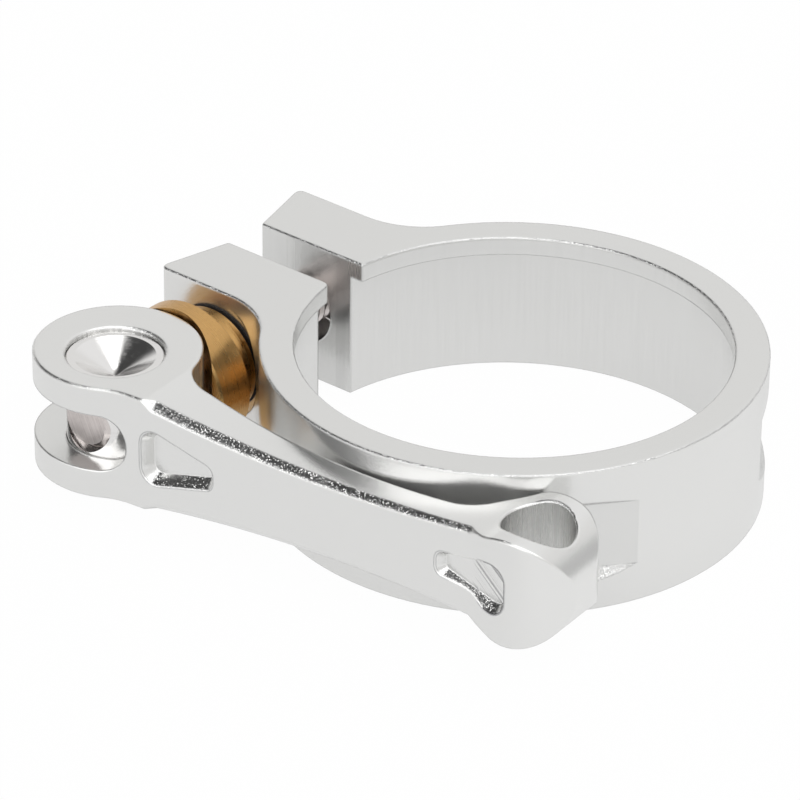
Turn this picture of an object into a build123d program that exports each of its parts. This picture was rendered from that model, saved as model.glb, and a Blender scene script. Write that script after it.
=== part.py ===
from build123d import *
import os

# Quick-release seatpost clamp, in millimetres.
# Z is the axis of the seat tube, and Z = 0 is the lower face of the band. The slit and its two lugs
# point to -X. The clamp bolt runs along Y, with its head in the +Y lug and the cam lever on the -Y
# lug. The lever is drawn closed, lying along the outside of the band.

# Band
BORE_DIAMETER = 41.0
BAND_WALL = 1.75
BAND_HEIGHT = 13.8
LIP_HEIGHT = 1.75
LIP_WIDTH = 1.3
LIP_CORNER = 0.7
SLIT_WIDTH = 4.5
LUG_LENGTH = 10.55
LUG_SLANT = 2.42
LUG_CORNER = 0.7
SLIT_CORNER = 0.4
LUG_FILLET = 7.8
EDGE_BREAK = 0.12

# Flat pockets milled into the outside of the band
POCKET_ANGLE = 39.3
POCKET_DEPTH = 0.9
POCKET_FLOOR_LOW = 3.85
POCKET_FLOOR_HIGH = 10.0
POCKET_SLOPE_LOW = 1.3
POCKET_SLOPE_HIGH = 0.75

# Bolt and the holes it passes
BOLT_DIAMETER = 5.0
BOLT_STANDOFF = 3.9
BOLT_HEIGHT = 7.7
BOLT_HOLE = 6.8
BOLT_END_SETBACK = 0.6
BOLT_END_CHAMFER = 0.4
HEAD_DIAMETER = 8.5
HEAD_HEIGHT = 5.0
HEAD_CHAMFER = 0.4
HEAD_SINK = 3.0
HEAD_BORE = 10.4
SOCKET_ACROSS_FLATS = 4.0
SOCKET_DEPTH = 2.6
SPOTFACE_DIAMETER = 11.6

# Barrel nut
BARREL_DIAMETER = 8.7
BARREL_RECESS = 0.4
BARREL_CHAMFER = 0.15
DIMPLE_DIAMETER = 7.2
DIMPLE_DEPTH = 2.0

# Washers between the lug and the cam
WASHER_HOLE = 6.7
FLAT_WASHER_DIAMETER = 10.1
FLAT_WASHER_THICKNESS = 0.4
SADDLE_DIAMETER = 13.4
SADDLE_HUB = 2.5
SADDLE_FLOOR = 4.3
SADDLE_RIM = 6.3
WASHER_CHAMFER = 0.2
THIN_CHAMFER = 0.1

# Lever: cam eye and fork
CAM_DIAMETER = 14.9
CAM_SHIFT_BACK = 0.4
CAM_SHIFT_IN = 0.8
EYE_HEIGHT = 11.0
EYE_FLAT = 7.0
FORK_SLOT = 5.5
FORK_DEPTH = 5.15
NECK_FRONT_FILLET = 6.0
NECK_BACK_FILLET = 3.5

# Lever: arm, with its leads measured past the cam and its offsets from the barrel's axis
ARM_FRONT_LEAD = -0.4
ARM_FRONT_OUT = 4.75
ARM_BACK_LEAD = 3.2
ARM_BACK_IN = 0.45
WAIST_HEIGHT = 7.8
WAIST_AT = 26.75
ARM_CHAMFER = 0.6
CHAMFER_LEAD = 1.2
CHAMFER_DROP = 0.3
CHAMFER_FADE = 1.9
CHAMFER_OVERRUN = 1.5
CHAMFER_RISE = 0.65

# Lever: end, with its corners measured along X and out from the band, from the end's centre
END_ANGLE = 46.8
END_STANDOFF = 4.65
END_HEIGHT = 10.3
END_FRONT_AT = -3.6
END_FRONT_OUT = 4.6
END_FRONT_FILLET = 4.0
CREST_AT = 0.7
CREST_OUT = 5.3
NOSE_FRONT_AT = 5.6
NOSE_FRONT_OUT = 1.2
NOSE_BACK_AT = 4.1
NOSE_BACK_OUT = -3.95
NOSE_FILLET = 4.0
HEEL_AT = -2.5
HEEL_OUT = -3.75
HEEL_FILLET = 0.9
CROOK_AT = -6.2
CROOK_OUT = 1.75
CROOK_FILLET = 4.5
SHOULDER_BACK = 2.4
SHOULDER_FILLET = 6.0
END_HOLE = 6.2
END_HOLE_AT = 0.15
END_HOLE_OUT = 0.63

# Lever: small breaks and rounds along its edges
LEVER_EDGE_BREAK = 0.15
LEVER_EDGE_ROUND = 0.2

# Lever: sloped pockets in its front, one beside the fork and one in the end
FORK_POCKET_LENGTH = 7.6
FORK_POCKET_WIDE = 6.1
FORK_POCKET_NARROW = 2.1
FORK_POCKET_DEPTH = 1.2
END_POCKET_START = -7.3
END_POCKET_LENGTH = 7.6
END_POCKET_WIDE = 5.4
END_POCKET_NARROW = 2.2
END_POCKET_DEPTH = 0.9
END_POCKET_SLOPE = 0.045
LEVER_POCKET_TAPER = 30.0
POCKET_WIDE_CORNER = 1.5
POCKET_NARROW_CORNER = 0.95
POCKET_RIM = 0.1

# Clearances
LEVER_BAND_GAP = 0.35
LEVER_SETOFF = 0.55
CAM_SADDLE_GAP = 0.15
RUNNING_FIT = 0.05
HEAD_SEAT_GAP = 0.02

# Places worked out from the sizes above
BORE_RADIUS = BORE_DIAMETER / 2
BAND_RADIUS = BORE_RADIUS + BAND_WALL
LIP_RADIUS = BORE_RADIUS - LIP_WIDTH
SEAT_HEIGHT = BAND_HEIGHT / 2
BOLT_RADIUS = BOLT_DIAMETER / 2
BARREL_RADIUS = BARREL_DIAMETER / 2
CAM_RADIUS = CAM_DIAMETER / 2
CAM_SHIFT = Vector(-CAM_SHIFT_BACK, CAM_SHIFT_IN)
SADDLE_RADIUS = CAM_RADIUS + CAM_SHIFT.length + CAM_SADDLE_GAP
THROUGH = 2 * BAND_RADIUS
UP = Vector(0, 0, 1)
AXIS = Vector(-(BAND_RADIUS + BOLT_STANDOFF), -(BAND_RADIUS + LEVER_SETOFF))
EYE = AXIS + CAM_SHIFT
LUG_FACE = -AXIS.Y - SADDLE_RADIUS - SADDLE_FLOOR - FLAT_WASHER_THICKNESS
HEAD_SEAT = LUG_FACE - HEAD_SINK
END = Vector(BAND_RADIUS + END_STANDOFF, 0).rotate(Axis.Z, -END_ANGLE)
LEVER_RUN = END - AXIS
LEVER_PLANE = Plane(AXIS + UP * BOLT_HEIGHT, x_dir=LEVER_RUN, z_dir=LEVER_RUN.cross(UP))
FRONT_START = AXIS + Vector(CAM_RADIUS + ARM_FRONT_LEAD, -ARM_FRONT_OUT)
FRONT_STOP = END + Vector(END_FRONT_AT, -END_FRONT_OUT)
FRONT_RUN = FRONT_STOP - FRONT_START
FRONT_PLANE = Plane(FRONT_START + UP * BOLT_HEIGHT, x_dir=FRONT_RUN, z_dir=FRONT_RUN.cross(UP))
END_POCKET_ORIGIN = END + Vector(0, -CREST_OUT, BOLT_HEIGHT)
END_POCKET_RUN = Vector(1, -END_POCKET_SLOPE)
END_POCKET_PLANE = Plane(END_POCKET_ORIGIN, x_dir=END_POCKET_RUN, z_dir=END_POCKET_RUN.cross(UP))


def along_bolt(radius, start, stop, height=BOLT_HEIGHT):
    """A round bar in line with the bolt between two Y positions, at its height or another."""
    bar = Cylinder(radius, stop - start, align=(Align.CENTER, Align.CENTER, Align.MIN))
    return Pos(AXIS.X, start, height) * Rot(X=-90) * bar


def upright(radius, centre, low, high):
    """A round bar along Z between two heights."""
    bar = Cylinder(radius, high - low, align=(Align.CENTER, Align.CENTER, Align.MIN))
    return Pos(centre.X, centre.Y, low) * bar


def nearest(shape, point):
    """The corner of an outline that lies closest to a point."""
    return shape.vertices().sort_by_distance(point)[0]


def band_plan():
    """Outside outline of the band: a disc with two slanted lugs blended into it, split between them."""
    tip = -(BAND_RADIUS + LUG_LENGTH)
    root = -((BAND_RADIUS ** 2 - LUG_FACE ** 2) ** 0.5)
    corners = [
        (0, LUG_FACE),
        (tip, LUG_FACE),
        (tip + LUG_SLANT, 0),
        (tip, -LUG_FACE),
        (0, -LUG_FACE),
    ]
    plan = Circle(BAND_RADIUS) + make_face(Polyline(*corners, close=True))
    plan -= Rectangle(THROUGH, SLIT_WIDTH, align=(Align.MAX, Align.CENTER))
    slit_end = tip + LUG_SLANT * (1 - SLIT_WIDTH / 2 / LUG_FACE)
    for side in (-1, 1):
        plan = fillet(nearest(plan, (root, side * LUG_FACE)), LUG_FILLET)
        plan = fillet(nearest(plan, (tip, side * LUG_FACE)), LUG_CORNER)
        plan = fillet(nearest(plan, (slit_end, side * SLIT_WIDTH / 2)), SLIT_CORNER)
    return plan


def band_pocket(angle):
    """Cutter for one flat pocket, with a steep upper and a sloping lower wall."""
    floor = BAND_RADIUS - POCKET_DEPTH
    mouth = floor + 2 * POCKET_DEPTH
    outline = [
        (floor, POCKET_FLOOR_LOW),
        (mouth, POCKET_FLOOR_LOW - 2 * POCKET_SLOPE_LOW),
        (mouth, POCKET_FLOOR_HIGH + 2 * POCKET_SLOPE_HIGH),
        (floor, POCKET_FLOOR_HIGH),
    ]
    profile = Plane.XZ * make_face(Polyline(*outline, close=True))
    return Rot(Z=angle) * extrude(profile, amount=BORE_RADIUS, both=True)


def clamp_band():
    """Split band with a stop lip at the top of its bore and a lug on each side of the slit."""
    centre = Vector(0, 0)
    band = extrude(band_plan(), BAND_HEIGHT)
    band -= upright(BORE_RADIUS, centre, 0, BAND_HEIGHT - LIP_HEIGHT)
    band -= upright(LIP_RADIUS, centre, 0, BAND_HEIGHT)
    lip_end = Vector(-LIP_RADIUS, -SLIT_WIDTH / 2, BAND_HEIGHT - LIP_HEIGHT / 2)
    band = fillet(band.edges().filter_by(Axis.Z).sort_by_distance(lip_end)[0], LIP_CORNER)
    for angle in (POCKET_ANGLE, -POCKET_ANGLE):
        band -= band_pocket(angle)
    rims = band.edges().filter_by_position(Axis.Z, BAND_HEIGHT, BAND_HEIGHT)
    rims += band.edges().filter_by_position(Axis.Z, 0, 0)
    band = chamfer(rims, EDGE_BREAK)
    band -= along_bolt(BOLT_HOLE / 2, -THROUGH, THROUGH, SEAT_HEIGHT)
    band -= along_bolt(SPOTFACE_DIAMETER / 2, -THROUGH, -LUG_FACE, SEAT_HEIGHT)
    return band - along_bolt(HEAD_BORE / 2, HEAD_SEAT, THROUGH, SEAT_HEIGHT)


def clamp_bolt():
    """Socket-head bolt from the +Y lug through the slit and the washers into the barrel nut."""
    under_head = HEAD_SEAT + HEAD_SEAT_GAP
    top = under_head + HEAD_HEIGHT
    end = AXIS.Y - BARREL_RADIUS + BOLT_END_SETBACK
    shank = along_bolt(BOLT_RADIUS, end, under_head)
    shank = chamfer(shank.edges().filter_by(GeomType.CIRCLE).sort_by(Axis.Y)[0], BOLT_END_CHAMFER)
    head = along_bolt(HEAD_DIAMETER / 2, under_head, top)
    head = chamfer(head.edges().filter_by(GeomType.CIRCLE).sort_by(Axis.Y)[-1], HEAD_CHAMFER)
    key = RegularPolygon(SOCKET_ACROSS_FLATS / 2, 6, major_radius=False)
    mouth = Pos(AXIS.X, top, BOLT_HEIGHT) * Rot(X=90)
    return shank + head - mouth * extrude(key, SOCKET_DEPTH)


def barrel_nut():
    """Cross-drilled barrel that the bolt screws into and the lever turns on."""
    half = EYE_HEIGHT / 2 - BARREL_RECESS
    barrel = upright(BARREL_RADIUS, AXIS, BOLT_HEIGHT - half, BOLT_HEIGHT + half)
    barrel = chamfer(barrel.edges().filter_by(GeomType.CIRCLE), BARREL_CHAMFER)
    dimple = Cone(0, DIMPLE_DIAMETER / 2, DIMPLE_DEPTH, align=(Align.CENTER, Align.CENTER, Align.MAX))
    barrel -= Pos(AXIS.X, AXIS.Y, BOLT_HEIGHT + half) * dimple
    barrel -= Pos(AXIS.X, AXIS.Y, BOLT_HEIGHT - half) * Rot(X=180) * dimple
    return barrel - along_bolt(BOLT_RADIUS + RUNNING_FIT, 2 * AXIS.Y, 0)


def flat_washer():
    """Thin washer on the spot-faced seat of the lug."""
    front = -(LUG_FACE + FLAT_WASHER_THICKNESS)
    disc = along_bolt(FLAT_WASHER_DIAMETER / 2, front, -LUG_FACE, SEAT_HEIGHT)
    disc = chamfer(disc.edges().filter_by(GeomType.CIRCLE), THIN_CHAMFER)
    return disc - along_bolt(WASHER_HOLE / 2, 2 * front, 0, SEAT_HEIGHT)


def saddle_washer():
    """Brass seat for the cam: a hub, a wide flange, and a hollow that the cam rolls in."""
    back = -(LUG_FACE + FLAT_WASHER_THICKNESS)
    step = back - SADDLE_HUB
    front = back - SADDLE_RIM
    hub = along_bolt(FLAT_WASHER_DIAMETER / 2, step, back, SEAT_HEIGHT)
    flange = along_bolt(SADDLE_DIAMETER / 2, front, step, SEAT_HEIGHT)
    flange = chamfer(flange.edges().filter_by(GeomType.CIRCLE), WASHER_CHAMFER)
    washer = hub + flange - along_bolt(WASHER_HOLE / 2, 2 * front, 0, SEAT_HEIGHT)
    return washer - upright(SADDLE_RADIUS, AXIS, 0, THROUGH)


def lever_plan():
    """Lever seen from above: round cam eye, arm along the band, and an end that hugs it."""
    root_front = FRONT_START - FRONT_RUN * ((FRONT_START.X - EYE.X) / FRONT_RUN.X)
    root_back = AXIS + Vector(CAM_RADIUS + ARM_BACK_LEAD, ARM_BACK_IN)
    belly = Vector(AXIS.X + WAIST_AT, -(BAND_RADIUS + LEVER_BAND_GAP))
    crest = END + Vector(CREST_AT, -CREST_OUT)
    nose_front = END + Vector(NOSE_FRONT_AT, -NOSE_FRONT_OUT)
    nose_back = END + Vector(NOSE_BACK_AT, -NOSE_BACK_OUT)
    heel = END + Vector(HEEL_AT, -HEEL_OUT)
    crook = END + Vector(CROOK_AT, -CROOK_OUT)
    outline = [
        Line(root_front, FRONT_STOP),
        ThreePointArc(FRONT_STOP, crest, nose_front),
        Polyline(nose_front, nose_back, heel, crook),
        ThreePointArc(crook, belly, root_back),
        Polyline(root_back, EYE, root_front),
    ]
    plan = make_face(outline) + Pos(EYE) * Circle(CAM_RADIUS)
    neck_front, neck_back = plan.vertices().sort_by_distance(EYE)[:2].sort_by(Axis.Y)
    rounds = [
        (tuple(neck_back), NECK_BACK_FILLET),
        (tuple(neck_front), NECK_FRONT_FILLET),
        (FRONT_STOP, END_FRONT_FILLET),
        (nose_back, NOSE_FILLET),
        (heel, HEEL_FILLET),
        (crook, CROOK_FILLET),
    ]
    for corner, radius in rounds:
        plan = fillet(nearest(plan, corner), radius)
    return plan


def lever_side():
    """Lever seen from the front: level eye, hollow waist and a full round end."""
    eye = EYE_HEIGHT / 2
    half_end = END_HEIGHT / 2
    left = -CAM_DIAMETER
    shoulder = LEVER_RUN.length - SHOULDER_BACK
    shoulder_height = (half_end ** 2 - SHOULDER_BACK ** 2) ** 0.5
    outline = [Line((left, -eye), (left, eye))]
    for sign in (-1, 1):
        hollow_end = (shoulder, sign * shoulder_height)
        level = Line((left, sign * eye), (EYE_FLAT, sign * eye))
        hollow = ThreePointArc(level @ 1, (WAIST_AT, sign * WAIST_HEIGHT / 2), hollow_end)
        outline += [level, hollow]
    nose = (LEVER_RUN.length + half_end, 0)
    outline.append(ThreePointArc((shoulder, -shoulder_height), nose, (shoulder, shoulder_height)))
    side = make_face(outline)
    for sign in (-1, 1):
        side = fillet(nearest(side, (shoulder, sign * shoulder_height)), SHOULDER_FILLET)
    return side


def arm_chamfer(sign):
    """Cutter for the long bevel on the upper or lower front edge of the arm."""
    run = FRONT_RUN.length
    middle = WAIST_AT - CAM_RADIUS - ARM_FRONT_LEAD
    stop = run + CHAMFER_OVERRUN
    eye = EYE_HEIGHT / 2
    waist = WAIST_HEIGHT / 2
    start = (CHAMFER_LEAD, sign * (eye - CHAMFER_DROP - ARM_CHAMFER))
    fade = (stop - CHAMFER_FADE, sign * (waist + CHAMFER_RISE - ARM_CHAMFER))
    finish = (stop, sign * (END_HEIGHT + ARM_CHAMFER) / 2)
    outside = sign * EYE_HEIGHT
    edges = [
        Line((0, sign * eye), start),
        ThreePointArc(start, (middle, sign * (waist - ARM_CHAMFER)), fade),
        Line(fade, finish),
        Polyline(finish, (stop, outside), (0, outside), (0, sign * eye)),
    ]
    slope = UP * sign - FRONT_PLANE.z_dir
    return extrude(FRONT_PLANE * make_face(edges), amount=EYE_HEIGHT, dir=slope, both=True)


def lever_pocket(plane, start, stop, wide, narrow, depth):
    """Cutter for a tapering pocket with sloped walls, running from its wide to its narrow end."""
    corners = [(start, -wide / 2), (stop, -narrow / 2), (stop, narrow / 2), (start, wide / 2)]
    mouth = make_face(Polyline(*corners, close=True))
    for corner in corners:
        radius = POCKET_WIDE_CORNER if corner[0] == start else POCKET_NARROW_CORNER
        mouth = fillet(nearest(mouth, corner), radius)
    return extrude(plane * mouth, amount=-depth, taper=LEVER_POCKET_TAPER)


def pocketed(lever, cutter):
    """The lever with a pocket cut into it and the edges of the pocket's mouth broken."""
    cut = lever - cutter
    skins = (lever.shells()[0], cutter.shells()[0])

    def on_mouth(edge):
        points = [Vertex(*(edge @ place)) for place in (0.2, 0.5, 0.8)]
        return max(skin.distance_to(point) for skin in skins for point in points) < RUNNING_FIT / 10

    return chamfer(cut.edges().filter_by(on_mouth), POCKET_RIM)


def rims_around(lever, centre, radius):
    """Upper and lower edges of a round wall of the lever, clear of the fork slot."""
    slot = FORK_SLOT / 2 + LEVER_EDGE_BREAK

    def on_rim(edge):
        reach = [(Vector(point.X, point.Y) - centre).length for point in (edge @ 0, edge @ 0.5, edge @ 1)]
        on_wall = max(reach) - radius < RUNNING_FIT / 10 and radius - min(reach) < RUNNING_FIT / 10
        return on_wall and abs(edge.center().Z - BOLT_HEIGHT) > slot

    return lever.edges().filter_by(GeomType.LINE, reverse=True).filter_by(on_rim)


def bevel_feet(lever):
    """The long edges where the bevels run out on the front of the arm."""

    def on_front(edge):
        depth = FRONT_PLANE.to_local_coords(edge.center()).Z
        return abs(depth) < RUNNING_FIT / 10 and edge.length > WAIST_AT

    return lever.edges().filter_by(GeomType.CIRCLE).filter_by(on_front)


def fork_slot():
    """Cutter for the slot that opens the eye for the bolt, with a full round end."""
    centre = FORK_DEPTH - FORK_SLOT / 2
    slot = Pos(centre, 0) * Rectangle(THROUGH, FORK_SLOT, align=(Align.MAX, Align.CENTER))
    slot += Pos(centre, 0) * Circle(FORK_SLOT / 2)
    return extrude(LEVER_PLANE * slot, THROUGH, both=True)


def cam_lever():
    """One-piece forked cam lever."""
    lever = extrude(lever_plan(), THROUGH)
    lever &= extrude(LEVER_PLANE * lever_side(), THROUGH, both=True)
    for sign in (1, -1):
        lever -= arm_chamfer(sign)
    lever -= fork_slot()
    barrel_hole = BARREL_RADIUS + RUNNING_FIT
    end_hole = END + Vector(END_HOLE_AT, -END_HOLE_OUT)
    lever -= upright(barrel_hole, AXIS, 0, THROUGH)
    lever -= upright(END_HOLE / 2, end_hole, 0, THROUGH)
    fork_pocket = lever_pocket(
        FRONT_PLANE, 0, FORK_POCKET_LENGTH, FORK_POCKET_WIDE, FORK_POCKET_NARROW, FORK_POCKET_DEPTH
    )
    end_wide = END_POCKET_START + END_POCKET_LENGTH
    end_pocket = lever_pocket(
        END_POCKET_PLANE, end_wide, END_POCKET_START, END_POCKET_WIDE, END_POCKET_NARROW, END_POCKET_DEPTH
    )
    lever = pocketed(lever, fork_pocket)
    lever = pocketed(lever, end_pocket)
    nose = END + Vector(NOSE_FRONT_AT, -NOSE_FRONT_OUT, BOLT_HEIGHT)
    lever = fillet(lever.edges().sort_by_distance(nose)[0], LEVER_EDGE_ROUND)
    lever = fillet(rims_around(lever, end_hole, END_HOLE / 2), LEVER_EDGE_ROUND)
    lever = fillet(bevel_feet(lever), LEVER_EDGE_BREAK)
    lever = chamfer(rims_around(lever, EYE, CAM_RADIUS), LEVER_EDGE_BREAK)
    return chamfer(rims_around(lever, AXIS, barrel_hole), LEVER_EDGE_BREAK)


if __name__ == "__main__":
    os.makedirs("parts", exist_ok=True)
    for make in (clamp_band, clamp_bolt, barrel_nut, flat_washer, saddle_washer, cam_lever):
        export_step(make(), f"parts/{make.__name__}.step")
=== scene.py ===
# %% [markdown]
# # A quick-release seatpost clamp
# The clamp is a split alloy band with two lugs, a bolt, a steel barrel nut, a forked cam lever, a brass
# saddle washer and a black nylon washer. Its solids come ready made from the CAD pack. This lesson sets
# the clamp in a small white studio and gives every piece its finish. It also opens the pocket in the
# lever's end to its full outline, and cuts the bolt's thread, which the CAD leaves out.

# %% Load the packed clamp
import math

import bmesh
import bpy
from mathutils import Matrix, Vector
from mathutils.bvhtree import BVHTree
from mathutils.geometry import barycentric_transform


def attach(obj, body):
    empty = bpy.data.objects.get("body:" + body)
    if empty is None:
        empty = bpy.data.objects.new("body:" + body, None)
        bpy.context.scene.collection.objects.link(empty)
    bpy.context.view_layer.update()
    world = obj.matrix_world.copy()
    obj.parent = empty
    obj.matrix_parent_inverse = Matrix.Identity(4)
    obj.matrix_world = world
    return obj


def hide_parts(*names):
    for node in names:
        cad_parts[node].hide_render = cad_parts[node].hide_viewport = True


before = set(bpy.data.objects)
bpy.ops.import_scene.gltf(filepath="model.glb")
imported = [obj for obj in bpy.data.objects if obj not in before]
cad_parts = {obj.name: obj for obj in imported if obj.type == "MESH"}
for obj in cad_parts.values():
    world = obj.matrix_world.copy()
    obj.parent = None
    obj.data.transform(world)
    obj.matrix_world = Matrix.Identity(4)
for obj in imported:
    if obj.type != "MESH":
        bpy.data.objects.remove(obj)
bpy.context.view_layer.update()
MM = 0.001


# %% [markdown]
# ## The camera
# The photograph was taken with a long lens, so lines that are parallel on the clamp stay almost parallel
# in the picture. The camera stands where the fitted view of the band's circles puts it, and its three
# axes are written as the columns of its matrix.

# %% Set the camera
CAMERA_AT = Vector((0.2436141, -0.3162177, 0.2417886))
CAMERA_RIGHT = Vector((0.772889, 0.634455, 0.010472))
CAMERA_UP = Vector((-0.327784, 0.385064, 0.862718))
CAMERA_BACK = Vector((0.543324, -0.670218, 0.505577))
SENSOR_WIDTH = 36
FOCAL_LENGTH = 237.883
NEAREST_SEEN = 0.01

lens = bpy.data.cameras.new("photo_lens")
lens.sensor_width = SENSOR_WIDTH
lens.lens = FOCAL_LENGTH
lens.clip_start = NEAREST_SEEN
camera = bpy.data.objects.new("photo_camera", lens)
bpy.context.scene.collection.objects.link(camera)
turn = Matrix((CAMERA_RIGHT, CAMERA_UP, CAMERA_BACK)).transposed()
camera.matrix_world = Matrix.Translation(CAMERA_AT) @ turn.to_4x4()
bpy.context.scene.camera = camera
bpy.context.scene.view_settings.view_transform = "Standard"
print("camera", round(CAMERA_AT.length, 3), "m from the bore's axis")

# %% [markdown]
# ## A way to write finishes
# A material is a net of nodes, and wiring it socket by socket hides the idea behind it. Here one small
# class wraps a socket, so that arithmetic on it adds the Math nodes, and one method of a second class
# adds any other node with its settings and its inputs. A finish then reads like a formula.

# %% Wire sockets with arithmetic
class Wire:
    """A number or colour on its way through a finish."""

    def __init__(self, finish, socket):
        self.finish = finish
        self.socket = socket

    def math(self, operation, *values):
        return self.finish.add("ShaderNodeMath", {"operation": operation}, dict(enumerate(values)))

    def __add__(self, other):
        return self.math("ADD", self, other)

    def __radd__(self, other):
        return self.math("ADD", other, self)

    def __sub__(self, other):
        return self.math("SUBTRACT", self, other)

    def __rsub__(self, other):
        return self.math("SUBTRACT", other, self)

    def __mul__(self, other):
        return self.math("MULTIPLY", self, other)

    def __rmul__(self, other):
        return self.math("MULTIPLY", other, self)

    def __pow__(self, other):
        return self.math("POWER", self, other)

    def __abs__(self):
        return self.math("ABSOLUTE", self)

    def squared(self):
        return self * self

    def above(self, edge, soft):
        """0 below the edge and 1 above it, with a soft step between."""
        step = {"interpolation_type": "SMOOTHSTEP"}
        stops = {"From Min": edge - soft, "From Max": edge + soft}
        return self.finish.add("ShaderNodeMapRange", step, {"Value": self, **stops})

    def below(self, edge, soft):
        return 1 - self.above(edge, soft)


print("beside arithmetic, a wire knows", [name for name in vars(Wire) if not name.startswith("_")])

# %% Gather the nodes of a finish
SPARKLING = 0.88


class Finish:
    """A net of nodes, and the one method that adds to it."""

    def __init__(self, tree):
        self.tree = tree

    def add(self, kind, settings=None, inputs=None, output=0):
        node = self.tree.nodes.new(kind)
        for name, value in (settings or {}).items():
            setattr(node, name, value)
        for name, value in (inputs or {}).items():
            self.plug(node.inputs[name], value)
        return Wire(self, node.outputs[output]) if node.outputs else None

    def plug(self, socket, value):
        if isinstance(value, Wire):
            self.tree.links.new(value.socket, socket)
        else:
            socket.default_value = value

    def split(self, vector):
        """The three sides of a vector."""
        first = self.add("ShaderNodeSeparateXYZ", None, {0: vector})
        return [Wire(self, socket) for socket in first.socket.node.outputs]

    def vector(self, operation, one, other=(0, 0, 0), scale=1.0):
        return self.add("ShaderNodeVectorMath", {"operation": operation}, {0: one, 1: other, 3: scale})

    def dot(self, one, other):
        """How well two directions agree, from -1 to 1."""
        return self.add("ShaderNodeVectorMath", {"operation": "DOT_PRODUCT"}, {0: one, 1: other}, "Value")

    def reach(self, one, other):
        """How far a point is from an axis, by its two distances across that axis."""
        return (one.squared() + other.squared()) ** 0.5

    def blend(self, factor, one, other):
        """A colour between two others."""
        return self.add("ShaderNodeMix", {"data_type": "RGBA"}, {"Factor": factor, 6: one, 7: other}, 2)

    def between(self, factor, one, other):
        """A direction between two others."""
        return self.add("ShaderNodeMix", {"data_type": "VECTOR"}, {"Factor": factor, 4: one, 5: other}, 1)

    def millimetres(self, centre=(0, 0, 0)):
        """Where a point is on the object, in millimetres from a centre that is given in millimetres."""
        spot = self.add("ShaderNodeTexCoord", output="Object")
        shift = tuple(-side for side in centre)
        fitted = {"Vector": spot, "Scale": (1 / MM,) * 3, "Location": shift}
        return self.add("ShaderNodeMapping", None, fitted)

    def facing(self):
        """The three sides of the direction in which the surface looks."""
        return self.split(self.add("ShaderNodeTexCoord", output="Normal"))

    def noise(self, vector, scale, detail=2.0):
        return self.add("ShaderNodeTexNoise", None, {"Vector": vector, "Scale": scale, "Detail": detail})

    def lines(self, along, scale):
        """Fine lines of uneven strength, across the direction in which the number grows."""
        return self.add("ShaderNodeTexNoise", {"noise_dimensions": "1D"}, {"W": along, "Scale": scale})

    def facets(self, spot, scale, tilt, sparkle, under):
        """Tiny flats, each turned a little its own way, and a few turned far enough to sparkle."""
        cells = self.add("ShaderNodeTexVoronoi", None, {"Vector": spot, "Scale": scale}, "Color")
        tilt = self.split(cells)[0].above(SPARKLING, 0.03) * sparkle + tilt
        turned = self.vector("SCALE", self.vector("SUBTRACT", cells, (0.5, 0.5, 0.5)), scale=tilt)
        return self.vector("NORMALIZE", self.vector("ADD", under, turned))

    def bump(self, height, depth, under=None):
        """Relief of that height, as deep as the given number of millimetres, on facets if there are any."""
        inputs = {"Height": height, "Strength": 1.0, "Distance": depth * MM}
        if under:
            inputs["Normal"] = under
        return self.add("ShaderNodeBump", None, inputs)


print("ways to make a finish:", [name for name in vars(Finish) if not name.startswith("_")])

# %% Put a finish on a piece
class Surface(Finish):
    """A finish for one of the clamp's pieces."""

    def __init__(self, name, colour, metallic=1.0):
        self.material = bpy.data.materials.new(name)
        self.material.use_nodes = True
        super().__init__(self.material.node_tree)
        self.shader = self.tree.nodes["Principled BSDF"]
        self.set("Base Color", (*colour, 1))
        self.set("Metallic", metallic)

    def set(self, socket, value):
        self.plug(self.shader.inputs[socket], value)

    def on(self, node):
        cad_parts[node].material_slots[0].material = self.material


print("pieces that wait for a finish:", list(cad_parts))

# %% [markdown]
# ## The studio
# Bright metal shows its surroundings more than itself. The photograph was taken on white, with a soft box
# overhead, a light in front and the dark room to the left, above the table. Only bevels and hollow walls
# that look that way turn dark. Lamps could do this, but round patches on the world's sky are easier to
# aim: each one is a direction, a width and a brightness. The floor is white to the camera, a little
# greyer in the metal, with a brighter card to the right, and it keeps a soft shadow.

# %% Lay the floor
FLOOR_HALF = 3.0
FLOOR_DROP = 0.02


def placed(name, shape):
    """A new object with that shape."""
    mesh = bpy.data.meshes.new(name)
    shape.to_mesh(mesh)
    shape.free()
    thing = bpy.data.objects.new(name, mesh)
    bpy.context.scene.collection.objects.link(thing)
    return thing


floor_shape = bmesh.new()
bmesh.ops.create_grid(floor_shape, x_segments=1, y_segments=1, size=FLOOR_HALF)
bmesh.ops.translate(floor_shape, verts=floor_shape.verts, vec=(0, 0, -FLOOR_DROP * MM))
floor = placed("studio_floor", floor_shape)
print("floor", 2 * FLOOR_HALF, "m wide")

# %% Paint the floor
WHITE = (1, 1, 1, 1)
FLOOR_MATT = 0.92
FLOOR_IN_METAL = 0.84
CARD_IN_METAL = 0.91
CARD_EDGE = 22
CARD_SOFT = 9
GLOW_SEEN = 0.98
GLOW_IN_METAL = 0.9


def grey(level):
    """A colour without any tint."""
    return (level, level, level, 1)


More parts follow.
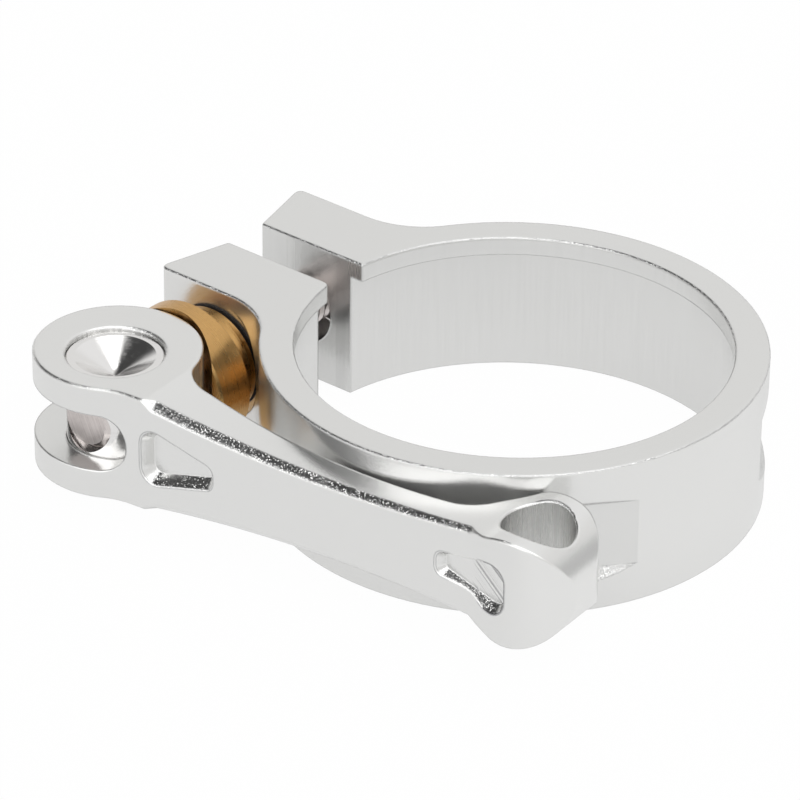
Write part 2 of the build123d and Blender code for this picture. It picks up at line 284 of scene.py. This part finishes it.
floor_paint = bpy.data.materials.new("studio_white")
floor_paint.use_nodes = True
floor_paint.node_tree.nodes.clear()
paint = Finish(floor_paint.node_tree)
seen = paint.add("ShaderNodeLightPath", output="Is Camera Ray")
mirrored = paint.add("ShaderNodeLightPath", output="Is Glossy Ray")
card = paint.split(paint.millimetres())[0].above(CARD_EDGE, CARD_SOFT)
mirror_colour = paint.blend(card, grey(FLOOR_IN_METAL), grey(CARD_IN_METAL))
glow_colour = paint.blend(mirrored, WHITE, mirror_colour)
matt = paint.add("ShaderNodeBsdfDiffuse", None, {"Color": grey(FLOOR_MATT)})
glow = paint.add("ShaderNodeEmission", None, {"Color": glow_colour, "Strength": 1.0})
glow_share = seen * GLOW_SEEN + mirrored * GLOW_IN_METAL
both = paint.add("ShaderNodeMixShader", None, {0: glow_share, 1: matt, 2: glow})
paint.add("ShaderNodeOutputMaterial", None, {"Surface": both})
floor.data.materials.append(floor_paint)
print("floor painted with", len(paint.tree.nodes), "nodes")

# %% Light the room
# Each patch has the way to its middle, its edge and softness as cosines, and its colour.
WALL = (0.80, 0.797, 0.79, 1)
PATCHES = {
    "dark room": ((-0.40, -0.55, 0.73), 0.87, 0.05, (0.02, 0.02, 0.022, 1)),
    "dim side": ((-0.72, -0.20, 0.66), 0.84, 0.12, grey(0.06)),
    "grey corner": ((0.62, 0.75, 0.17), 0.965, 0.03, grey(0.5)),
    "pale ceiling": ((-0.10, 0.60, 0.79), 0.93, 0.05, grey(0.88)),
    "side card": ((-0.52, -0.84, 0.10), 0.955, 0.03, grey(1.25)),
    "front light": ((0.05, -0.90, 0.42), 0.90, 0.03, grey(1.6)),
    "soft box": ((0.35, -0.15, 0.92), 0.85, 0.03, grey(1.55)),
}
world = bpy.data.worlds.new("white_studio")
world.use_nodes = True
world.node_tree.nodes.clear()
bpy.context.scene.world = world
room = Finish(world.node_tree)
towards = room.add("ShaderNodeTexCoord", output="Generated")
light = WALL
for direction, edge, soft, colour in PATCHES.values():
    middle = tuple(Vector(direction).normalized())
    light = room.blend(room.dot(towards, middle).above(edge, soft), light, colour)
seen = room.add("ShaderNodeLightPath", output="Is Camera Ray")
soft_light = room.add("ShaderNodeBackground", None, {"Color": light, "Strength": 1.0})
white = room.add("ShaderNodeBackground", None, {"Color": WHITE, "Strength": 1.0})
both = room.add("ShaderNodeMixShader", None, {0: seen, 1: soft_light, 2: white})
room.add("ShaderNodeOutputWorld", None, {"Surface": both})
print("walls at", WALL[0], "with", ", ".join(PATCHES))

# %% [markdown]
# ## Lines in the holes
# A reamer leaves fine lines along a hole, and a saw leaves fainter ones down the walls of the slit. Cut
# as grooves they would take thousands of faces. A noise that is stretched along Z gives such lines at
# once, and a mask keeps them to upright walls that are near the axis of a hole or inside the slit.

# %% Draw lines in the holes and the slit
# Each hole has the place of its axis, how far from it the lines reach, and their strength.
BAND_BORE = (0, 0, 21.0, 0.2)
END_HOLE = (18.56, -20.24, 3.4, 0.6)
EYE_HOLE = (-26.15, -22.8, 4.7, 1.5)
SLIT_HALF = 2.4
SLIT_FROM = -17
SAW_STRENGTH = 0.25
LINE_SCALE = 4.0
LINE_STRETCH = (1, 1, 0.03)


def drawn_lines(metal, spot, upright, holes):
    """The lines in the holes and the slit, and where the slit is, which gets painted shade."""
    x, y, _ = metal.split(spot)
    bored = 0
    for hole_x, hole_y, far, strength in holes:
        bored = metal.reach(x - hole_x, y - hole_y).below(far, 0.1) * strength + bored
    sawn_and_shaded = abs(y).below(SLIT_HALF, 0.1) * x.below(SLIT_FROM, 1) * upright
    drawn = metal.add("ShaderNodeMapping", None, {"Vector": spot, "Scale": LINE_STRETCH})
    streaks = metal.noise(drawn, LINE_SCALE).above(0.5, 0.2) * (bored * upright + sawn_and_shaded * SAW_STRENGTH)
    return streaks, sawn_and_shaded


print("lines reach", [hole[2] for hole in (BAND_BORE, END_HOLE, EYE_HOLE)], "mm from the holes' axes")

# %% [markdown]
# ## The lever's pockets
# The lever has two shallow pockets in its front, which a round cutter made to save weight. Each gets a
# thin grey line of painted shade round its rim, and has a few slanted marks on its floor. These could
# come from a painted picture, but a pocket is easy to find by measuring: along the lever, upwards, and
# inwards from its mouth. Each of the three masks is a product of such measures.

# %% Find the lever's pockets
# Each pocket has the middle of its mouth, the way it opens, and its two ends along the lever.
FORK_POCKET = ((-19.1, -27.55, 7.7), (0.098, -0.995), (-1.0, 9.0))
END_POCKET = ((18.41, -24.91, 7.7), (-0.045, -0.999), (-8.5, 0.6))
POCKET_HALF = 3.4
POCKET_DEEPEST = 1.4
FLOOR_DEPTH = 0.8
MARKS_FROM = -3.5
MARKS_TO = 0.2
MARKS_SCALE = 3.0


def pocket_places(metal, spot, pockets):
    """Where the pockets are hollow, where their lips are, and the marks on their floors."""
    hollow, lip, marks = 0, 0, 0
    for middle, out, (start, end) in pockets:
        along, across, up = metal.split(metal.vector("SUBTRACT", spot, middle))
        depth = along * -out[0] + across * -out[1]
        inside = along.above(start, 0.2) * along.below(end, 0.2)
        inside = inside * abs(up).below(POCKET_HALF, 0.1) * depth.below(POCKET_DEEPEST, 0.1)
        hollow = depth.above(0.04, 0.04) * inside + hollow
        lip = depth.above(-0.3, 0.1) * depth.below(0.2, 0.1) * inside + lip
        marked = along.above(MARKS_FROM, 0.5) * along.below(MARKS_TO, 0.3)
        marked = depth.above(FLOOR_DEPTH, 0.04) * marked * inside
        marks = metal.lines(along * 0.63 + up * 0.78, MARKS_SCALE).above(0.56, 0.06) * marked + marks
    return hollow, lip, marks


print("pockets at", [pocket[0] for pocket in (FORK_POCKET, END_POCKET)], "mm")

# %% [markdown]
# ## Worn edges
# The alloy was tumbled, which wears every edge a little. New faces could round the edges, but the Bevel
# node is enough: it bends the way the surface looks near an edge. The pockets are sheltered and worn
# less. The lever's long bevels are narrow and worn most, so a broad rounding runs right across them. The
# lower walls of the pockets are turned outwards as well, because the round cutter left them hollow.

# %% Wear the edges
EDGE_WEAR = 0.35
POCKET_WEAR = 0.16
BEVEL_WEAR = 0.6
WALL_TURN = 0.35
OWN_SPACE = {"vector_type": "VECTOR", "convert_from": "OBJECT", "convert_to": "WORLD"}


def worn(metal, radius):
    """The way the surface looks, with its edges rounded by that many millimetres."""
    return metal.add("ShaderNodeBevel", {"samples": 8}, {"Radius": radius * MM})


def worn_lever(metal, edge, hollow, bevel, low_wall):
    """The same on the lever, with its pockets, its long bevels and the pockets' lower walls."""
    edge = metal.between(hollow, edge, worn(metal, POCKET_WEAR))
    edge = metal.between(bevel, edge, worn(metal, BEVEL_WEAR))
    outwards = metal.add("ShaderNodeVectorTransform", OWN_SPACE, {0: (0, -1, 0)})
    return metal.vector("ADD", edge, metal.vector("SCALE", outwards, scale=low_wall * WALL_TURN))


print("edges worn by", EDGE_WEAR, "mm, in the pockets by", POCKET_WEAR, "mm")

# %% [markdown]
# ## The alloy
# The band and the lever are aluminium, anodised clear. Their flat faces are satin and almost without
# grain. Where a cutter ran along a bevel or a ledge it left pits and tiny facets, a few of which sparkle.
# A bump could make the grain, but only soft grain. Here a Voronoi pattern turns each of its cells its own
# way, and a mask keeps that to faces that lean. The pits and the marks are one darker colour, and the same
# colour paints a thin line of shade round the pockets' rims. The flats outside the band and the walls of
# the slit get a little painted shade as well.

# %% Anodise the band and the lever
# The flats outside the band lie between two distances from its axis, and get a little painted shade.
SATIN = 0.22
GRAIN_SCALE = 14.0
SATIN_TILT = 0.05
SPARKLE = 0.45
LINE_DEPTH = 0.01
# The darker colour of the pits and marks, also painted as shade round the pockets' rims.
STAIN_AND_SHADE = (0.3, 0.3, 0.31, 1)
FLAT_FROM = 21.1
FLAT_TO = 22.22


def anodised(name, colour, sideways, grain, pitted, holes, pockets):
    """Satin alloy. It sparkles where it leans and also looks sideways, and has drawn lines in its holes."""
    metal = Surface(name, colour)
    spot = metal.millimetres()
    _, ny, nz = metal.facing()
    lean = abs(nz)
    upright = lean.below(0.3, 0.1)
    milled = lean.above(0.35, 0.1) * lean.below(0.95, 0.02) * abs(ny).above(sideways, 0.1)
    streaks, sawn_and_shaded = drawn_lines(metal, spot, upright, holes)

    edge = worn(metal, EDGE_WEAR)
    relief = streaks
    sparkle = milled * SPARKLE
    stains_and_shade = metal.noise(spot, GRAIN_SCALE, 0.0).above(0.55, 0.05) * milled * pitted
    if pockets:
        hollow, lip, marks = pocket_places(metal, spot, pockets)
        plain = metal.add("ShaderNodeNewGeometry", output="Normal")
        # Painted shade: a thin dark line where the pockets' lips are rounded.
        rim = (1 - metal.dot(plain, edge)).above(0.02, 0.015) * lip
        edge = worn_lever(metal, edge, hollow, milled * (1 - hollow), hollow * nz.above(0.5, 0.1))
        relief = streaks + marks * 2
        sparkle = milled * (hollow * 0.3 + SPARKLE)
        stains_and_shade = rim * 0.8 + marks * 0.7 + stains_and_shade

    x, y, _ = metal.split(spot)
    radius = metal.reach(x, y)
    # Painted shade: the flats outside the band are drawn a little darker.
    flat = radius.above(FLAT_FROM, 0.1) * radius.below(FLAT_TO, 0.02)
    # Painted shade on the walls of the slit, added to the darker drawn lines.
    shade_and_lines = flat * upright * 0.3 + sawn_and_shaded * 0.4 + streaks * 0.4
    tone = metal.blend(shade_and_lines, (*colour, 1), (*[0.8 * part for part in colour], 1))
    metal.set("Base Color", metal.blend(stains_and_shade, tone, STAIN_AND_SHADE))
    metal.set("Metallic", milled * 0.08 + 0.92)
    metal.set("Roughness", metal.noise(spot, 0.5) * 0.03 + SATIN - milled * 0.06 + streaks * 0.12)
    facets = metal.facets(spot, GRAIN_SCALE, milled * grain + SATIN_TILT, sparkle, edge)
    metal.set("Normal", metal.bump(relief, LINE_DEPTH, facets))
    return metal


band_alloy = anodised(
    "band_alloy_satin", (0.82, 0.82, 0.81), sideways=-1, grain=0.3, pitted=0.6,
    holes=[BAND_BORE], pockets=[],
)
band_alloy.on("clamp_band")
lever_alloy = anodised(
    "lever_alloy_satin", (0.84, 0.84, 0.83), sideways=0.3, grain=0.06, pitted=0.1,
    holes=[END_HOLE, EYE_HOLE], pockets=[FORK_POCKET, END_POCKET],
)
lever_alloy.on("cam_lever")
print("nodes of the band's alloy:", len(band_alloy.tree.nodes))
print("nodes of the lever's alloy:", len(lever_alloy.tree.nodes))

# %% [markdown]
# ## The pocket in the lever's end
# The front of the lever swells towards its nose, and in the CAD solid this leaves a skin of a tenth of a
# millimetre over the wide end of the pocket there. A cutter with the outline of the pocket's mouth takes
# it off. The cutter is a flat shape with two rounded corners, drawn out into a block, and a Boolean
# modifier does the cut on a copy of the lever. Everything is in millimetres meanwhile, so that no edge is
# too short for it.

# %% Shape the cutter
MOUTH_END = 0.3
MOUTH_HALF = 2.7
MOUTH_NARROWING = 0.2105
CUTTER_START = -3.2
CUTTER_DEPTH = 0.03
CUTTER_RISE = 0.6
CORNER_REACH = 1.85
CORNER_STEPS = 10
pocket_at = Vector(END_POCKET[0])
pocket_out = Vector((*END_POCKET[1], 0))
pocket_run = Vector((0, 0, 1)).cross(pocket_out)


def in_pocket(along, up):
    """A point just inside the pocket's mouth, from its distances along the lever and upwards."""
    return pocket_at + pocket_run * along + Vector((0, 0, up)) - pocket_out * CUTTER_DEPTH


start_half = MOUTH_HALF - MOUTH_NARROWING * (MOUTH_END - CUTTER_START)
lower_side = [(CUTTER_START, -start_half), (MOUTH_END, -MOUTH_HALF)]
upper_side = [(MOUTH_END, MOUTH_HALF), (CUTTER_START, start_half)]
cutter_shape = bmesh.new()
corners = [cutter_shape.verts.new(in_pocket(*corner)) for corner in lower_side + upper_side]
cutter_shape.faces.new(corners)
bmesh.ops.bevel(
    cutter_shape, geom=corners[1:3], offset=CORNER_REACH, segments=CORNER_STEPS, profile=0.5,
    affect="VERTICES", material=-1,
)
block = bmesh.ops.extrude_face_region(cutter_shape, geom=cutter_shape.faces[:])
risen = [part for part in block["geom"] if isinstance(part, bmesh.types.BMVert)]
bmesh.ops.translate(cutter_shape, verts=risen, vec=pocket_out * CUTTER_RISE)
bmesh.ops.recalc_face_normals(cutter_shape, faces=cutter_shape.faces)
print("cutter with", len(cutter_shape.faces), "faces")

# %% Cut the skin off a copy of the lever
MERGE = 0.001
cad_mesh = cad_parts["cam_lever"].data


def open_edges(shape):
    """How many edges don't have exactly two faces."""
    return len([edge for edge in shape.edges if not edge.is_manifold])


def settled(thing):
    """The mesh of an object as its modifiers leave it."""
    return bpy.data.meshes.new_from_object(thing.evaluated_get(bpy.context.evaluated_depsgraph_get()))


blank_shape = bmesh.new()
blank_shape.from_mesh(cad_mesh)
bmesh.ops.scale(blank_shape, vec=(1 / MM,) * 3, verts=blank_shape.verts)
bmesh.ops.remove_doubles(blank_shape, verts=blank_shape.verts, dist=MERGE)
print("open edges of the copy:", open_edges(blank_shape))

cutter = placed("pocket_cutter", cutter_shape)
blank = placed("lever_blank", blank_shape)
opening = blank.modifiers.new("open_pocket", "BOOLEAN")
opening.operation = "DIFFERENCE"
opening.solver = "EXACT"
opening.object = cutter
lever_shape = bmesh.new()
lever_shape.from_mesh(settled(blank))
bpy.data.objects.remove(blank)
bpy.data.objects.remove(cutter)
bmesh.ops.remove_doubles(lever_shape, verts=lever_shape.verts, dist=MERGE)
print("lever of", round(lever_shape.calc_volume(), 1), "cubic mm, open edges:", open_edges(lever_shape))

# %% [markdown]
# The cut lever has lost the smooth normals of the CAD model. The Data Transfer modifier could hand them
# on, but it picks any of the loose triangles that meet at a corner. So each corner looks up the triangle
# under its own face instead, and mixes that triangle's three normals.

# %% Hand on the smooth normals
NEAR = 0.003 * MM
INWARDS = 0.02
SAME_WAY = 0.9
cad_spots = [vert.co for vert in cad_mesh.vertices]
cad_normals = [normal.vector for normal in cad_mesh.corner_normals]
cad_surface = BVHTree.FromPolygons(cad_spots, [face.vertices for face in cad_mesh.polygons])


def smooth_normal(spot, face):
    """The CAD model's normal at a corner of a face, or the face's own normal where the cutter passed."""
    _, way, index, gap = cad_surface.find_nearest(spot.lerp(face.center, INWARDS))
    if gap > NEAR or way.dot(face.normal) < SAME_WAY:
        return face.normal
    triangle = cad_mesh.polygons[index]
    corners = [cad_spots[vert] for vert in triangle.vertices]
    normals = [cad_normals[loop] for loop in triangle.loop_indices]
    return barycentric_transform(spot, *corners, *normals).normalized()


def piece(name, shape):
    """An object in metres, with smooth faces, from a shape in millimetres."""
    for face in shape.faces:
        face.smooth = True
    bmesh.ops.scale(shape, vec=(MM,) * 3, verts=shape.verts)
    return placed(name, shape)


lever = piece("forked_lever", lever_shape)
lever_mesh = lever.data
lever_spots = [vert.co for vert in lever_mesh.vertices]
lever_normals = [
    smooth_normal(lever_spots[vert], face) for face in lever_mesh.polygons for vert in face.vertices
]
lever_mesh.normals_split_custom_set(lever_normals)
lever_mesh.materials.append(lever_alloy.material)
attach(lever, "lever")
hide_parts("cam_lever")
print("lever piece with", len(lever_mesh.polygons), "faces, own normals:", lever_mesh.has_custom_normals)

# %% [markdown]
# ## The barrel nut and the washers
# The barrel nut is polished steel and the saddle washer satin brass, both from a lathe. Their rings could
# be cut as grooves, but they are far finer than a pixel, so a noise that only changes with the distance
# from the axis lifts the surface by a few thousandths of a millimetre, with a few sharper scratches along
# it. The thin washer behind the saddle is black nylon with a dull skin.

# %% Turn the barrel and the saddle
BARREL_AXIS = (-26.15, -22.8, 0)
SEAT_AXIS = (-26.15, 0, 6.9)
RING_LEAN = 0.8
PATCH_SCALE = 1.5


def turned(name, colour, centre, axis, scale, roughness, depth, scratch):
    """Metal from a lathe, with fine rings about its axis (1 is Y, 2 is Z) and a few sharper scratches."""
    metal = Surface(name, colour)
    spot = metal.millimetres(centre)
    sides = metal.split(spot)
    along = sides.pop(axis)
    place = metal.reach(*sides) + along * RING_LEAN
    patches = metal.noise(spot, PATCH_SCALE)
    rings = metal.lines(place, scale) * patches
    scratches = metal.lines(place, scale * 1.4).above(0.6, 0.05) * patches.above(0.5, 0.1)
    metal.set("Roughness", rings * 0.2 + roughness)
    metal.set("Normal", metal.bump(rings + scratches * scratch, depth))
    return metal


steel = turned(
    "barrel_steel_polished", (0.87, 0.86, 0.85), BARREL_AXIS, axis=2, scale=9.0,
    roughness=0.06, depth=0.006, scratch=0.3,
)
steel.on("barrel_nut")
brass = turned(
    "saddle_brass_turned", (0.62, 0.37, 0.14), SEAT_AXIS, axis=1, scale=8.0,
    roughness=0.24, depth=0.012, scratch=0.5,
)
brass.on("saddle_washer")
print("from the lathe:", steel.material.name, "and", brass.material.name)

# %% Mould the thin washer
GRIT_SCALE = 4.0
GRIT_DEPTH = 0.01
nylon = Surface("washer_nylon_black", (0.008, 0.005, 0.004), 0.0)
grit = nylon.noise(nylon.millimetres(), GRIT_SCALE)
nylon.set("Roughness", grit * 0.2 + 0.5)
nylon.set("Specular IOR Level", 0.15)
nylon.set("Normal", nylon.bump(grit, GRIT_DEPTH))
nylon.on("flat_washer")
print("moulded:", nylon.material.name)

# %% [markdown]
# ## The bolt
# The bolt is an M5 socket screw. Its thread shows beside its end, in the lug's hole and whenever the
# lever is let out, so it is cut for real: the outline of one turn is spun round the axis while it moves
# along by the pitch, and the turns are merged. A plane then cuts it to length, and the end is turned down
# to a cone.

# %% Wind the thread
BOLT_AXIS = (-26.15, 0, 7.7)
BOLT_END = -26.55
UNDER_HEAD = 6.626
PITCH = 0.8
CREST = 2.5
ROOT = 2.01
TURN_STEPS = 24
SPARE_TURNS = 2
OUTLINE = [(ROOT, 0), (CREST, 0.283), (CREST, 0.383), (ROOT, 0.666), (ROOT, PITCH)]
axis_at = Vector(BOLT_AXIS)


def chain(shape, outline, start):
    """A row of points joined by edges, given by radius and distance along the bolt."""
    points = [shape.verts.new(axis_at + Vector((radius, start + along, 0))) for radius, along in outline]
    edges = [shape.edges.new(pair) for pair in zip(points, points[1:])]
    return points + edges


bolt_shape = bmesh.new()
turns = math.ceil((UNDER_HEAD - BOLT_END) / PITCH) + SPARE_TURNS
one_turn = chain(bolt_shape, OUTLINE, BOLT_END - PITCH)
bmesh.ops.spin(
    bolt_shape, geom=one_turn, cent=axis_at, axis=(0, 1, 0), dvec=(0, PITCH / TURN_STEPS, 0),
    angle=math.tau * turns, steps=TURN_STEPS * turns,
)
bmesh.ops.remove_doubles(bolt_shape, verts=bolt_shape.verts, dist=MERGE)
print("thread of", turns, "turns,", len(bolt_shape.faces), "faces")

# %% Cut the thread to length
END_RADIUS = 2.32
INTO_HEAD = 0.02


def cut_off(shape, along, side):
    """Cuts the shape square at that distance along the bolt. The edges of the cut are returned."""
    everything = shape.verts[:] + shape.edges[:] + shape.faces[:]
    at = axis_at + Vector((0, along, 0))
    cut = bmesh.ops.bisect_plane(
        shape, geom=everything, plane_co=at, plane_no=(0, side, 0), clear_outer=True,
    )
    return [edge for edge in cut["geom_cut"] if isinstance(edge, bmesh.types.BMEdge)]


def off_axis(vert):
    """How far a point is from the bolt's axis, and which way."""
    return (vert.co - axis_at) * Vector((1, 0, 1))


end_rim = cut_off(bolt_shape, BOLT_END, -1)
for vert in bolt_shape.verts:
    out = off_axis(vert)
    most = END_RADIUS + vert.co.y - BOLT_END
    if out.length > most:
        vert.co -= out * (1 - most / out.length)
bmesh.ops.contextual_create(bolt_shape, geom=end_rim)
head_rim = cut_off(bolt_shape, UNDER_HEAD + INTO_HEAD, 1)
bmesh.ops.contextual_create(bolt_shape, geom=head_rim)
print("cut to", round(UNDER_HEAD - BOLT_END, 2), "mm under the head,", len(bolt_shape.faces), "faces")

# %% [markdown]
# The head is a knurled cap with a hexagon socket. A spun outline gives the cap, every other point of its
# widest rings is drawn in a little for the knurl, and the socket is a hexagon with as many points as the
# cap's rim, so that the two can be bridged.

# %% Add the head
HEAD_STEPS = 72
HEAD_TOP = 11.626
CAP_RADIUS = 4.25
KNURL_DEPTH = 0.13
CAP = [
    (2.0, UNDER_HEAD),
    (4.05, UNDER_HEAD),
    (CAP_RADIUS, UNDER_HEAD + 0.2),
    (CAP_RADIUS, HEAD_TOP - 0.4),
    (3.85, HEAD_TOP),
]
thread_verts = set(bolt_shape.verts)
bmesh.ops.spin(
    bolt_shape, geom=chain(bolt_shape, CAP, 0), cent=axis_at, axis=(0, 1, 0), angle=math.tau,
    steps=HEAD_STEPS, use_merge=True,
)
cap_verts = [vert for vert in bolt_shape.verts if vert not in thread_verts]
bmesh.ops.remove_doubles(bolt_shape, verts=cap_verts, dist=MERGE)
for vert in [vert for vert in bolt_shape.verts if vert.co.y > UNDER_HEAD + 0.1]:
    out = off_axis(vert)
    step = round(math.atan2(out.z, out.x) / math.tau * HEAD_STEPS)
    if out.length > CAP_RADIUS - 0.05 and step % 2:
        vert.co -= out.normalized() * KNURL_DEPTH
print("head of", HEAD_STEPS // 2, "ridges")

# %% Sink the socket
SOCKET_RADIUS = 4.0 / math.sqrt(3)
SOCKET_DEPTH = 2.6


def loose_edges(shape):
    """The edges that carry no face yet."""
    return [edge for edge in shape.edges if edge.is_wire]


rims = [edge for edge in bolt_shape.edges if edge.is_boundary]
upper = [edge for edge in rims if edge.verts[0].co.y > HEAD_TOP - 0.1]
lower = [edge for edge in rims if edge not in upper]
bmesh.ops.contextual_create(bolt_shape, geom=lower)
mouth = Matrix.Translation(axis_at + Vector((0, HEAD_TOP, 0))) @ Matrix.Rotation(math.pi / 2, 4, "X")
bmesh.ops.create_circle(bolt_shape, segments=6, radius=SOCKET_RADIUS, matrix=mouth)
bmesh.ops.subdivide_edges(bolt_shape, edges=loose_edges(bolt_shape), cuts=HEAD_STEPS // 6 - 1)
sides = loose_edges(bolt_shape)
bmesh.ops.bridge_loops(bolt_shape, edges=upper + sides)
wall = bmesh.ops.extrude_edge_only(bolt_shape, edges=sides)
bottom = [part for part in wall["geom"] if isinstance(part, bmesh.types.BMEdge)]
sunk = list({vert for edge in bottom for vert in edge.verts})
bmesh.ops.translate(bolt_shape, verts=sunk, vec=(0, -SOCKET_DEPTH, 0))
bmesh.ops.contextual_create(bolt_shape, geom=bottom)
bmesh.ops.recalc_face_normals(bolt_shape, faces=bolt_shape.faces)
print("bolt of", round(bolt_shape.calc_volume(), 1), "cubic mm, open edges:", open_edges(bolt_shape))

# %% [markdown]
# The bolt is zinc plated, and its end was ground flat afterwards. The grinding left brushed lines with a
# browner tint, so a mask on the face that looks along the bolt keeps them to the end.

# %% Plate the bolt
SHARP = math.radians(32)
PLATING = (0.72, 0.67, 0.65)
GROUND = (0.48, 0.43, 0.42)
BRUSH_SCALE = 5.0
BRUSH_DEPTH = 0.02
bolt = piece("threaded_bolt", bolt_shape)
bolt_mesh = bolt.data
bolt_mesh.set_sharp_from_angle(angle=SHARP)

plated = Surface("bolt_steel_plated", PLATING)
x, _, z = plated.split(plated.millimetres(BOLT_AXIS))
brushed = plated.lines(x * 0.9 + z * 0.43, BRUSH_SCALE).above(0.5, 0.25)
brushed = brushed * plated.noise(plated.millimetres(), 2.0)
end_face = plated.facing()[1].below(-0.95, 0.02)
plated.set("Base Color", plated.blend(end_face * brushed, (*PLATING, 1), (*GROUND, 1)))
plated.set("Roughness", end_face * 0.25 + 0.2)
plated.set("Normal", plated.bump(brushed * end_face, BRUSH_DEPTH))
bolt_mesh.materials.append(plated.material)
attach(bolt, "bolt")
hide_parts("clamp_bolt")
print("bolt piece with", len(bolt_mesh.polygons), "faces")

# %% [markdown]
